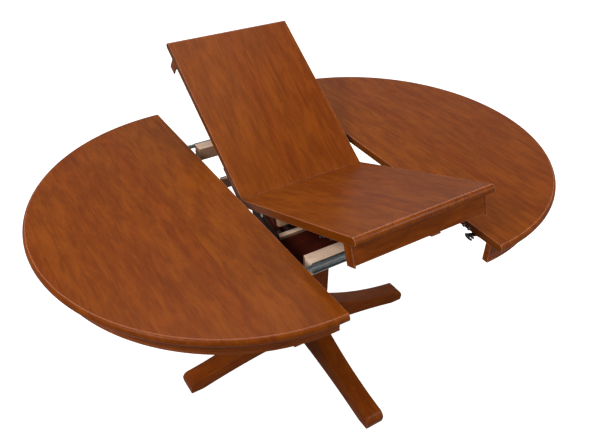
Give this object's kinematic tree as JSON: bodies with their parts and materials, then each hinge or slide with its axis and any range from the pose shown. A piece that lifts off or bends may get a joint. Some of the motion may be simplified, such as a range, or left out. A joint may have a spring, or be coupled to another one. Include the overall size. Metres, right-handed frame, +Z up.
{
  "type": "round pedestal table",
  "caption": "Round extending pedestal table with half-tops on ball-bearing slides and a folding self-storing leaf caught half way up.",
  "frame": {"origin": "on the floor under the middle of the post", "axes": "+X along the slide direction of the half-tops, +Y along the leaf, +Z up"},
  "size_m": [1.71, 1.2, 1.0496],
  "materials": {
    "top_wood": "red-brown stained cherry, satin lacquer",
    "stained_wood": "red-brown stained hardwood, satin lacquer",
    "frame_wood": "dark red-brown stain, thin lacquer",
    "bare_wood": "unfinished pale hardwood",
    "pin_steel": "blackened steel pin",
    "glide_plastic": "dark moulded plastic",
    "zinc_steel": "zinc-plated steel",
    "dark_steel": "dark lacquered steel plate",
    "black_steel": "black lacquered steel",
    "slide_steel": "grey zinc-plated cold-rolled steel",
    "hinge_brass": "turned brass"
  },
  "bodies": {
    "pedestal": {"bearers": "frame_wood", "floor_glides": "glide_plastic", "foot_bolts": "zinc_steel", "foot_front": "stained_wood", "foot_left": "stained_wood", "foot_rear": "stained_wood", "foot_right": "stained_wood", "frame_screws": "zinc_steel", "front_deck": "frame_wood", "pedestal_post": "stained_wood", "pivot_brackets": "dark_steel", "pivot_pins": "zinc_steel", "post_top_plate": "frame_wood", "rail_front_inner": "bare_wood", "rail_front_outer": "bare_wood", "rail_rear_inner": "bare_wood", "rail_rear_outer": "bare_wood", "slide_outers": "slide_steel"},
    "left_half": {"left_apron_front": "stained_wood", "left_apron_rear": "stained_wood", "left_apron_side": "stained_wood", "left_battens": "frame_wood", "left_keepers": "dark_steel", "left_side_rails": "frame_wood", "left_slide_inners": "slide_steel", "left_top": "top_wood", "left_top_screws": "zinc_steel"},
    "right_half": {"alignment_pins": "pin_steel", "right_apron_front": "stained_wood", "right_apron_rear": "stained_wood", "right_apron_side": "stained_wood", "right_battens": "frame_wood", "right_lock_plates": "dark_steel", "right_side_rails": "frame_wood", "right_slide_inners": "slide_steel", "right_top": "top_wood", "right_top_screws": "zinc_steel"},
    "left_middles": {"left_slide_middles": "slide_steel"},
    "right_middles": {"right_slide_middles": "slide_steel"},
    "leaf_front_half": {"leaf_front_apron": "stained_wood", "leaf_front_batten": "bare_wood", "leaf_front_blocks": "frame_wood", "leaf_front_end_caps": "stained_wood", "leaf_front_hinge_cups": "hinge_brass", "leaf_front_lock_plates": "dark_steel", "leaf_front_panel": "top_wood", "leaf_pull": "stained_wood"},
    "leaf_rear_half": {"leaf_rear_apron": "stained_wood", "leaf_rear_batten": "bare_wood", "leaf_rear_blocks": "frame_wood", "leaf_rear_end_caps": "stained_wood", "leaf_rear_hinge_cups": "hinge_brass", "leaf_rear_lock_plates": "dark_steel", "leaf_rear_panel": "top_wood"},
    "right_front_catch": {"right_hook_front": "black_steel"},
    "right_rear_catch": {"right_hook_rear": "black_steel"},
    "leaf_front_catch": {"leaf_front_hook": "black_steel"},
    "leaf_rear_catch": {"leaf_rear_hook": "black_steel"}
  },
  "joints": [
    {"name": "left_top_slide", "type": "slide", "parent": "pedestal", "child": "left_half", "axis": [1, 0, 0], "range_m": [0, 0.0295]},
    {"name": "left_middle_slide", "type": "slide", "parent": "pedestal", "child": "left_middles", "axis": [1, 0, 0], "range_m": [0, 0.01475]},
    {"name": "right_top_slide", "type": "slide", "parent": "pedestal", "child": "right_half", "axis": [-1, 0, 0], "range_m": [0, 0.0295]},
    {"name": "right_middle_slide", "type": "slide", "parent": "pedestal", "child": "right_middles", "axis": [-1, 0, 0], "range_m": [0, 0.01475]},
    {"name": "leaf_front_pivot", "type": "hinge", "parent": "pedestal", "child": "leaf_front_half", "pos_m": [0, -0.096, 0.724], "axis": [1, 0, 0], "range_deg": [-48, 22]},
    {"name": "leaf_centre_hinge", "type": "hinge", "parent": "leaf_front_half", "child": "leaf_rear_half", "pos_m": [0, 0.00649, 0.72142], "axis": [1, 0, 0], "range_deg": [-55.7, 121.5]},
    {"name": "right_front_hook_swing", "type": "hinge", "parent": "right_half", "child": "right_front_catch", "pos_m": [0.275, -0.498, 0.728], "axis": [0, 0, -1], "range_deg": [0, 55]},
    {"name": "right_rear_hook_swing", "type": "hinge", "parent": "right_half", "child": "right_rear_catch", "pos_m": [0.275, 0.498, 0.728], "axis": [0, 0, 1], "range_deg": [0, 55]},
    {"name": "leaf_front_hook_swing", "type": "hinge", "parent": "leaf_front_half", "child": "leaf_front_catch", "pos_m": [-0.2045, -0.44127, 0.86781], "axis": [0, 0.3746, 0.9272], "range_deg": [0, 80]},
    {"name": "leaf_rear_hook_swing", "type": "hinge", "parent": "leaf_rear_half", "child": "leaf_rear_catch", "pos_m": [-0.2045, 0.41527, 0.95557], "axis": [0, 0.5548, -0.832], "range_deg": [0, 80]}
  ],
  "couplings": [
    {"joint": "left_middle_slide", "follows": "left_top_slide", "ratio": 0.5},
    {"joint": "right_middle_slide", "follows": "right_top_slide", "ratio": 0.5},
    {"joint": "leaf_centre_hinge", "follows": "leaf_front_pivot", "ratio": -2.5318}
  ]
}
